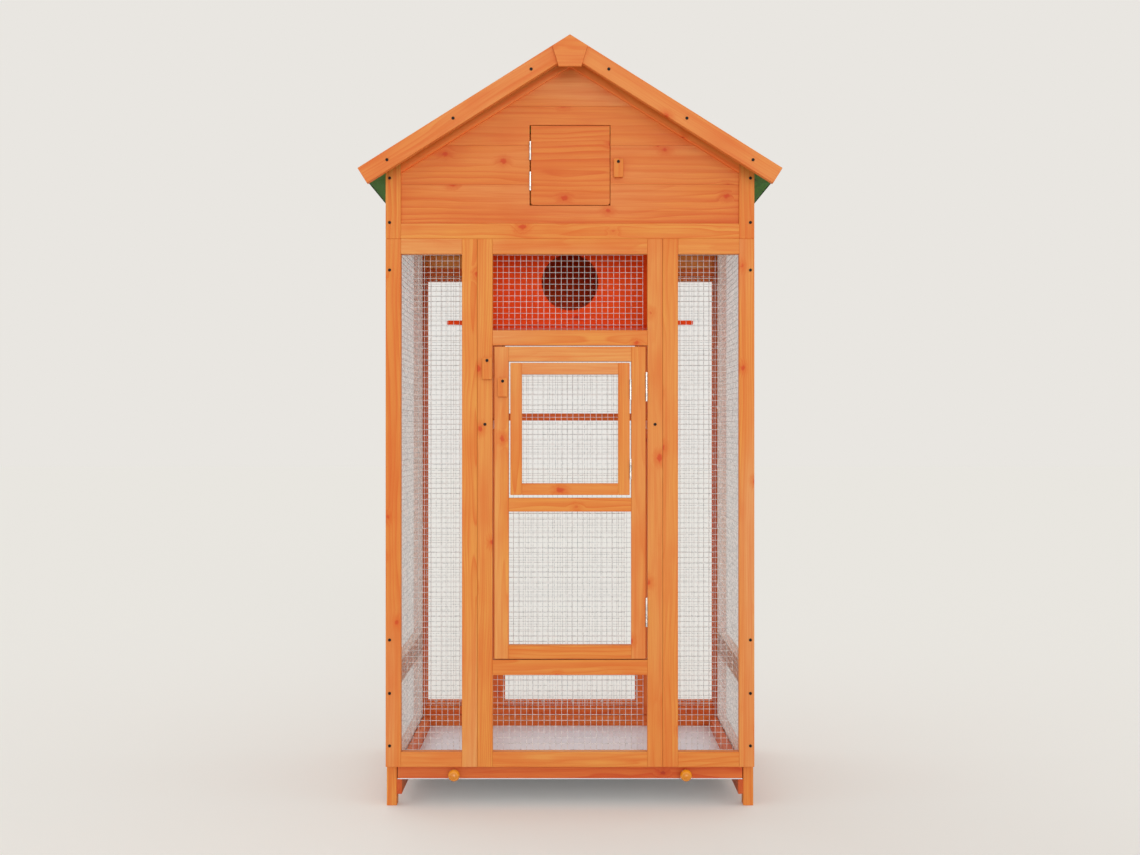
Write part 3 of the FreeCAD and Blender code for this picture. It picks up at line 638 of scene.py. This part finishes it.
# Barge boards. Two planed boards at each end of the roof, mitred at the ridge and square at the
# eave, with a five-sided plate over the mitre. Same stained pine, paler for being quite clear.
BARGE_END = 390.5
BARGE_W = 38
PLATE_T = 8
PLATE_X = 50
PLATE_FOOT_X = 24.2
PLATE_FOOT = 1594.7
PLATE_DROP = 2.2
PLATE_LEAN = math.radians(17)
FINE_ARRIS = 0.5
# Clear pine: the same stain, with knots under half the size
clear_pine = stained_wood("clear_stained_pine", "#E8964A", "#DA6222", "#E6A068", "#D04A18", 0.55,
                          knots=0.45)
plates = []
for word, end in (("front", -1), ("rear", 1)):
    y = (end * DECK_END, end * BARGE_END)
    parts = [timber((0, side * SLOPE_L), y, (RIDGE_Z - BARGE_W, RIDGE_Z), 0, tilt=side * PITCH,
                    cuts=[((0, 0, 0), (-side, 0, 0))]) for side in (-1, 1)]
    fit(word + "_barges", parts, "root", clear_pine, "stained_pine", word + "_barge_boards")
    flanks = [((side * PLATE_FOOT_X, 0, PLATE_FOOT),
               (side * math.cos(PLATE_LEAN), 0, -math.sin(PLATE_LEAN))) for side in (-1, 1)]
    plates.append(timber((-PLATE_X, PLATE_X), (end * BARGE_END, end * (BARGE_END + PLATE_T)),
                         (PLATE_FOOT, RIDGE_Z), 0, arris=FINE_ARRIS,
                         cuts=[roof_cut(side, PLATE_DROP) for side in (-1, 1)] + flanks))
fit("ridge_plates", plates, "root", clear_pine, "stained_pine", "apex_plates")

# Nest box. Thin pine boards glued and pinned into an open-topped box, with a round entrance
# in the front. The box stands on two bearer bars from the front wall to the rear wall, and two
# more bars lower down carry the cross rail.
BOX_Z = (1050, 1300)
BOX_X = 195
BOX_Y = (-191.5, 58.5)
BOX_T = 9
HOLE_R = 64
HOLE_Z = 1153.6
BAR_X = (175, 194)
BAR_W = 19
CROSS_Z = (841.4, 858.4)
# Painted shade: a deep orange red, in which the rings hardly show, and dull, for the boards in the
# shade under the roof
shade_deep_pine = stained_wood("pine_in_painted_deep_shade", "#FA5A10", "#F03E08", "#FA6A1E", "#B82206", 0.55)
shade_deep_pine.node_tree.nodes["Principled BSDF"].inputs["Specular IOR Level"].default_value = 0.12
bpy.ops.object.select_all(action="DESELECT")
bpy.ops.mesh.primitive_cylinder_add(vertices=64, radius=HOLE_R * MM, depth=4 * BOX_T * MM,
                                    location=Vector((0, BOX_Y[0], HOLE_Z)) * MM,
                                    rotation=(math.pi / 2, 0, 0))
bpy.ops.object.transform_apply()
entrance = bpy.context.object
inside_x = BOX_X - BOX_T
inside_y = (BOX_Y[0] + BOX_T, BOX_Y[1] - BOX_T)
boards = {}
boards["front"] = [timber((-BOX_X, BOX_X), (BOX_Y[0], inside_y[0]), BOX_Z, 0, hole=entrance,
                          arris=FINE_ARRIS)]
boards["sides"] = [timber((side * inside_x, side * BOX_X), inside_y, BOX_Z, 1, arris=FINE_ARRIS)
                   for side in (-1, 1)]
boards["back"] = [timber((-BOX_X, BOX_X), (inside_y[1], BOX_Y[1]), BOX_Z, 0, arris=FINE_ARRIS)]
boards["floor"] = [timber((-inside_x, inside_x), inside_y, (BOX_Z[0], BOX_Z[0] + BOX_T), 0,
                          arris=FINE_ARRIS)]
for word, parts in boards.items():
    fit("nest_" + word, parts, "root", shade_deep_pine, "stained_pine", "nest_box_" + word)
# The bars are in the redder pine of painted shade
for name, top, node in (("bearer_bars", BOX_Z[0], "nest_box_bearers"),
                        ("support_bars", CROSS_Z[0], "perch_supports")):
    parts = [timber((side * BAR_X[0], side * BAR_X[1]), (-INNER_Y, INNER_Y), (top - BAR_W, top), 1)
             for side in (-1, 1)]
    fit(name, parts, "root", shade_red_pine, "stained_pine", node)

# Perches. A flat landing rail in the nest box's deep red of painted shade is pinned across the
# front of the box, and a square rail lies on two bars across the middle of the cage. Both are pine
# with eased edges.
LANDING = ((-277, 277), (-206.5, -191.5), (1056, 1066))
CROSS_X = 213
CROSS_Y = 8.5
landing = timber(*LANDING, 0, arris=2)
fit("landing_rail", [landing], "root", shade_deep_pine, "stained_pine", "landing_perch")
# The cross rail is in the redder pine of painted shade
cross = timber((-CROSS_X, CROSS_X), (-CROSS_Y, CROSS_Y), CROSS_Z, 0, arris=2.5)
fit("cross_rail", [cross], "root", shade_red_pine, "stained_pine", "cross_perch")

# Large door. Five battens butted and screwed, with a net in the lower half and a way for the
# small door in the upper half. It hangs outside on its right-hand edge.
DOOR_X = 164
DOOR_IN_X = 133
DOOR_RAILS = ((323, 352.5), (642.5, 672), (968.4, 1000.4))
DOOR_NET = ((-139, 121.5), (339.5, 655.5))
wall_y = (-HALF_D, -INNER_Y)
door_z = (DOOR_RAILS[0][0], DOOR_RAILS[2][1])
parts = [timber((side * DOOR_IN_X, side * DOOR_X), wall_y, door_z, 2) for side in (-1, 1)]
parts += [timber((-DOOR_IN_X, DOOR_IN_X), wall_y, rail, 0) for rail in DOOR_RAILS]
fit("door_battens", parts, "door", stained_pine, "stained_pine", "door_frame")
net("door_net", "door", *DOOR_NET, -INNER_Y, 1, "door_mesh", (0,))

# Small door. Four narrower battens round a net, butted in the same way and hung in the upper
# half of the large door, on its right-hand stile.
SMALL_X = 129.5
SMALL_IN_X = 104.5
SMALL_RAILS = ((678.5, 703.5), (940.4, 965.4))
SMALL_NET = ((-110.5, 110.5), (690.5, 953.4))
small_z = (SMALL_RAILS[0][0], SMALL_RAILS[1][1])
parts = [timber((side * SMALL_IN_X, side * SMALL_X), wall_y, small_z, 2) for side in (-1, 1)]
parts += [timber((-SMALL_IN_X, SMALL_IN_X), wall_y, rail, 0) for rail in SMALL_RAILS]
fit("small_door_battens", parts, "small_door", stained_pine, "stained_pine", "small_door_frame")
net("small_door_net", "small_door", *SMALL_NET, -INNER_Y, 1, "small_door_mesh")
bpy.data.objects.remove(staple)

# Gable hatch. One square board of the same planks, flush with them, with its two lower corners
# rounded. It hangs on its left-hand edge.
HATCH_X = (-85, 86.4)
HATCH_Z = (1308.4, 1480.8)
HATCH_ROUND = (6, 1400)
leaf = timber(HATCH_X, (-PLANK_Y[1], -PLANK_Y[0]), HATCH_Z, 0, arris=FINE_ARRIS,
              rounding=HATCH_ROUND)
fit("hatch_board", [leaf], "hatch", plank_pine, "stained_pine", "gable_hatch")

# Hinges. Small rolled steel butts let into the gaps beside the leaves. Their CAD shapes stay,
# and get a finish of bright zinc plate: a smooth pale metal, with faint clouds drawn 9 mm wide.
zinc_plate = galvanised("zinc_plated_steel", "#F1F1F0", 0.3, 9, 1.0)
for word in ("door", "small", "hatch"):
    for node in (word + "_hinge_leaves", word + "_hinge_frame_leaves"):
        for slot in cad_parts[node].material_slots:
            slot.material = zinc_plate

# Turn buttons. Small blocks of the same stained pine with rounded corners. Each hangs on one
# black screw beside the edge of its door, and turns across it to hold it shut.
BUTTON_ROUND = 3
TURN_Y = (-344.8, -335.8)
HATCH_TURN_Y = (-338.8, -329.8)
for name, body, x, y, z in (
        ("door_turn", "door_button", (-190, -169), TURN_Y, (929, 977)),
        ("small_door_turn", "small_door_button", (-156.3, -135.3), TURN_Y, (891.4, 932.4)),
        ("hatch_turn", "hatch_button", (94.5, 115.5), HATCH_TURN_Y, (1367.5, 1408.5))):
    button = timber(x, y, z, 2, rounding=(BUTTON_ROUND, RIDGE_Z))
    fit(name, [button], body, stained_pine, "stained_pine", body)

# Drawer. A front, two side walls and a back in the redder pine of painted shade stand on a white
# sheet that collects what falls. It slides on two wooden runners, in the same pine, screwed inside
# the legs.
DRAWER_X = 376.5
WALL_IN_X = 356.5
DRAWER_Y = (-INNER_Y, 309.5)
FRONT_IN_Y = -293.5
BACK_IN_Y = 294.5
SHEET_FOOT = 57.5
SHEET_TOP = 59.4
FRONT_TOP = 87.5
SIDE_TOP = 84
BACK_TOP = 85.6
RUNNER_X = (367, 378)
RUNNER_Z = (25, 57.2)


def painted_sheet():
    """White enamelled hardboard: smooth, half glossy and faintly uneven."""
    sheet, tree, shader = bare_finish("white_painted_sheet")
    place = add(tree, "ShaderNodeTexCoord", {}).outputs["Object"]
    # Clouds of 140 mm in the white, and an orange peel of 3 mm in the paint
    cloud = add(tree, "ShaderNodeTexNoise", {"Vector": place, "Scale": 7.0, "Detail": 3.0})
    peel = add(tree, "ShaderNodeTexNoise", {"Vector": place, "Scale": 320.0, "Detail": 1.0})
    # The white leans blue: painted sky light, against the red light bounced off the wood
    paint = add(tree, "ShaderNodeMix", {0: cloud, 6: linear("#F2F7FF"), 7: linear("#EAEFFC")},
                data_type="RGBA")
    tree.links.new(paint.outputs[2], shader.inputs["Base Color"])
    rough = add(tree, "ShaderNodeMapRange", {0: cloud, 1: 0.3, 2: 0.7, 3: 0.32, 4: 0.48})
    tree.links.new(rough.outputs[0], shader.inputs["Roughness"])
    bump = add(tree, "ShaderNodeBump", {"Height": peel, "Strength": 0.15, "Distance": 0.3 * MM})
    tree.links.new(bump.outputs[0], shader.inputs["Normal"])
    return sheet


front_board = timber((-DRAWER_X, DRAWER_X), (DRAWER_Y[0], FRONT_IN_Y), (SHEET_TOP, FRONT_TOP), 0)
fit("drawer_front_board", [front_board], "drawer", shade_red_pine, "stained_pine", "drawer_front")
parts = [timber((side * WALL_IN_X, side * DRAWER_X), (FRONT_IN_Y, BACK_IN_Y),
                (SHEET_TOP, SIDE_TOP), 1) for side in (-1, 1)]
parts.append(timber((-DRAWER_X, DRAWER_X), (BACK_IN_Y, DRAWER_Y[1]), (SHEET_TOP, BACK_TOP), 0))
fit("drawer_sides", parts, "drawer", shade_red_pine, "stained_pine", "drawer_walls")
tray = timber((-DRAWER_X, DRAWER_X), DRAWER_Y, (SHEET_FOOT, SHEET_TOP), 0, arris=0.4)
fit("white_tray", [tray], "drawer", painted_sheet(), "white_tray", "tray_sheet")
parts = [timber((side * RUNNER_X[0], side * RUNNER_X[1]), (-INNER_Y, INNER_Y), RUNNER_Z, 1)
         for side in (-1, 1)]
fit("runner_battens", parts, "root", shade_red_pine, "stained_pine", "drawer_runners")

# Drawer knobs. Two turned birch balls, each on a short neck against the drawer's front and
# screwed on from behind.
KNOB_X = 252
KNOB_Z = 69.7
KNOB_R = 13
KNOB_NECK = 6
# Birch under a thick amber varnish: even and yellow, with a clear glossy coat over faint rings
amber_birch = stained_wood("amber_varnished_birch", "#FAA61E", "#EE8E10", "#FBB03A", "#C06A14", 0.2,
                           knots=0.0)
amber = amber_birch.node_tree.nodes["Principled BSDF"]
amber.inputs["Coat Weight"].default_value = 0.8
amber.inputs["Coat Roughness"].default_value = 0.08
parts = []
for side in (-1, 1):
    bpy.ops.object.select_all(action="DESELECT")
    spot = Vector((side * KNOB_X, -INNER_Y - KNOB_NECK - KNOB_R, KNOB_Z)) * MM
    bpy.ops.mesh.primitive_uv_sphere_add(segments=32, ring_count=24, radius=KNOB_R * MM,
                                         location=spot, rotation=(math.pi / 2, 0, 0))
    bpy.ops.object.transform_apply()
    ball = bpy.context.object
    for face in ball.data.polygons:
        face.select = (face.center - spot).normalized().y > 0.9
    for edge in ball.data.edges:
        edge.select = False
    bpy.ops.object.mode_set(mode="EDIT")
    bpy.ops.mesh.select_mode(type="FACE")
    bpy.ops.mesh.extrude_region_move(TRANSFORM_OT_translate={"value": (0, KNOB_NECK * MM, 0)})
    bpy.ops.transform.resize(value=(1, 0, 1), center_override=(spot.x, -INNER_Y * MM, spot.z))
    bpy.ops.object.mode_set(mode="OBJECT")
    bpy.ops.object.shade_smooth_by_angle(angle=math.radians(40))
    mark_grain(ball, AXES[1], AXES[0])
    parts.append(ball)
fit("drawer_balls", parts, "drawer", amber_birch, "varnished_knob", "drawer_knobs")

# Screws. Black cross-head screws with domed heads, driven through the faces of the battens,
# barges and buttons until the head lies flush.
HEAD_R = 3.9
HEAD_H = 1.2
HEAD_DOME_SHARE = 0.84
HEAD_RIM = 0.9
HEAD_RISE = 0.25
SLOT_L = 1.9
SLOT_W = 0.4
SLOT_D = 0.7
SHANK_R = 1.7
CORNER_X = 391.3
CORNER_SHARES = (0.0964, 0.178, 0.261, 0.836, 0.910, 0.979)
BAR_SCREW = (184.5, 831.9)
BATTEN_SCREW_L = 40
BARGE_SHARES = (0.205, 0.572, 0.883)
BARGE_SCREW_L = 18.8
TURN_SCREW_L = 29
HATCH_TURN_SCREW_L = 17


def black_steel():
    """Blackened steel: dark, half dull, with a thin dry oxide."""
    steel, tree, shader = bare_finish("black_oxide_steel")
    place = add(tree, "ShaderNodeTexCoord", {}).outputs["Object"]
    # Bloom of 1.7 mm on the oxide
    bloom = add(tree, "ShaderNodeTexNoise", {"Vector": place, "Scale": 600.0, "Detail": 2.0})
    tint = add(tree, "ShaderNodeMix", {0: bloom, 6: linear("#0E0B0A"), 7: linear("#1C1715")},
               data_type="RGBA")
    tree.links.new(tint.outputs[2], shader.inputs["Base Color"])
    shader.inputs["Metallic"].default_value = 0.4
    shader.inputs["Roughness"].default_value = 0.6
    bump = add(tree, "ShaderNodeBump", {"Height": bloom, "Strength": 0.2, "Distance": 0.2 * MM})
    tree.links.new(bump.outputs[0], shader.inputs["Normal"])
    return steel


black_screw = black_steel()
bpy.ops.object.select_all(action="DESELECT")
bpy.ops.mesh.primitive_cylinder_add(vertices=20, radius=HEAD_R * MM, depth=HEAD_H * MM,
                                    location=(0, 0, HEAD_H / 2 * MM))
bpy.ops.object.transform_apply()
head = bpy.context.object
for edge in head.data.edges:
    edge.select = False
for face in head.data.polygons:
    face.select = face.normal.z > 0.9
bpy.ops.object.mode_set(mode="EDIT")
bpy.ops.mesh.select_mode(type="FACE")
bpy.ops.transform.resize(value=(HEAD_DOME_SHARE, HEAD_DOME_SHARE, 1), center_override=(0, 0, 0))
bpy.ops.mesh.inset(thickness=HEAD_RIM * MM, depth=HEAD_RISE * MM)
bpy.ops.object.mode_set(mode="OBJECT")
for slot_x, slot_y in ((SLOT_L, SLOT_W), (SLOT_W, SLOT_L)):
    cross_slot = block((-slot_x, slot_x), (-slot_y, slot_y), (HEAD_H - SLOT_D, HEAD_H + 1))
    apply_modifier(head, "BOOLEAN", object=cross_slot, operation="DIFFERENCE", solver="EXACT")
    bpy.data.objects.remove(cross_slot)


def screw(x, face_y, z, end, length, turn):
    """Screw whose head lies on an end face (-1 front, 1 rear), with its shank in the wood."""
    bpy.ops.object.select_all(action="DESELECT")
    bpy.ops.mesh.primitive_cylinder_add(vertices=10, radius=SHANK_R * MM, depth=length * MM,
                                        location=(0, 0, -length / 2 * MM))
    shank = bpy.context.object
    top = head.copy()
    top.data = head.data.copy()
    bpy.context.scene.collection.objects.link(top)
    top.rotation_euler = (0, 0, turn)
    top.select_set(True)
    bpy.ops.object.transform_apply()
    bpy.ops.object.join()
    shank.rotation_euler = (math.pi / 2, 0, 0 if end < 0 else math.pi)
    shank.location = Vector((x, face_y, z)) * MM
    bpy.ops.object.transform_apply()
    return shank


ends_and_sides = [(end, side) for end in (-1, 1) for side in (-1, 1)]
parts = []
for end, side in ends_and_sides:
    spots = [(CORNER_X, share * LEG_TOP) for share in CORNER_SHARES] + [BAR_SCREW]
    parts += [screw(side * x, end * HALF_D, z, end, BATTEN_SCREW_L, draw.uniform(0, math.pi))
              for x, z in spots]
fit("batten_screws", parts, "root", black_screw, "black_screw", "frame_screws")
parts = []
for end, side in ends_and_sides:
    for share in BARGE_SHARES:
        along = share * SLOPE_L
        x = along * math.cos(PITCH) - BARGE_W / 2 * math.sin(PITCH)
        z = RIDGE_Z - along * math.sin(PITCH) - BARGE_W / 2 * math.cos(PITCH)
        parts.append(screw(side * x, end * BARGE_END, z, end, BARGE_SCREW_L,
                           draw.uniform(0, math.pi)))
fit("barge_board_screws", parts, "root", black_screw, "black_screw", "barge_screws")
parts = [screw(-179.5, TURN_Y[0], 970, -1, TURN_SCREW_L, 0.4),
         screw(105, HATCH_TURN_Y[0], 1401.5, -1, HATCH_TURN_SCREW_L, 1.1)]
fit("turn_screws", parts, "root", black_screw, "black_screw", "button_screws")
small = screw(-145.8, TURN_Y[0], 925.4, -1, TURN_SCREW_L, 0.8)
fit("small_turn_screw", [small], "door", black_screw, "black_screw", "small_button_screw")
bpy.data.objects.remove(head)

# Floor, light and camera. A wide pale floor, one broad soft light from the front and a little to
# the right, a weaker one from behind and above, and an even sky. The floor is lifted in view
# until it is as bright as the sky behind it.
FLOOR_M = 60
FLOOR_LIFT = 0.09
EYE_M = (0, -3.7695, 0.825)
bpy.ops.object.select_all(action="DESELECT")
bpy.ops.mesh.primitive_plane_add(size=FLOOR_M)
ground = bpy.context.object
ground.name = "floor"
# Matt painted floor: pale and even, with no shine
pale_floor, tree, matt = bare_finish("pale_floor")
matt.inputs["Base Color"].default_value = linear("#ECEAE6")
matt.inputs["Roughness"].default_value = 0.9
matt.inputs["Specular IOR Level"].default_value = 0.0
matt.inputs["Emission Color"].default_value = linear("#FFFDFA")
rays = add(tree, "ShaderNodeLightPath", {})
lift = add(tree, "ShaderNodeMath", {0: rays.outputs["Is Camera Ray"], 1: FLOOR_LIFT},
           operation="MULTIPLY")
tree.links.new(lift.outputs[0], matt.inputs["Emission Strength"])
ground.data.materials.append(pale_floor)

world = bpy.data.worlds.new("studio")
world.use_nodes = True
bpy.context.scene.world = world
sky = world.node_tree
sky.nodes.clear()
rays = add(sky, "ShaderNodeLightPath", {})
seen = rays.outputs["Is Camera Ray"]
for kind in ("Is Glossy Ray", "Is Transmission Ray"):
    seen = add(sky, "ShaderNodeMath", {0: seen, 1: rays.outputs[kind]}, operation="MAXIMUM")
shown = add(sky, "ShaderNodeBackground", {"Color": linear("#E9E6E1"), "Strength": 1.0})
lit = add(sky, "ShaderNodeBackground", {"Color": linear("#FFFEFB"), "Strength": 0.75})
both = add(sky, "ShaderNodeMixShader", {0: seen, 1: lit, 2: shown})
add(sky, "ShaderNodeOutputWorld", {"Surface": both})

for name, energy, spread, colour, source in (("key", 1.12, 36, (1.0, 0.96, 0.9), (0.12, -1.0, 0.1)),
                                             ("fill", 0.4, 60, (1.0, 1.0, 1.0), (-0.5, 1.0, 0.7))):
    light = bpy.data.lights.new(name, "SUN")
    light.energy = energy
    light.angle = math.radians(spread)
    light.color = colour
    sun = bpy.data.objects.new(name, light)
    sun.rotation_euler = Vector(source).to_track_quat("Z", "Y").to_euler()
    bpy.context.scene.collection.objects.link(sun)

lens = bpy.data.cameras.new("camera")
lens.lens = 50
lens.sensor_width = 36
camera = bpy.data.objects.new("camera", lens)
camera.location = EYE_M
camera.rotation_euler = (math.pi / 2, 0, 0)
bpy.context.scene.collection.objects.link(camera)
bpy.context.scene.camera = camera
bpy.context.scene.view_settings.view_transform = "Standard"
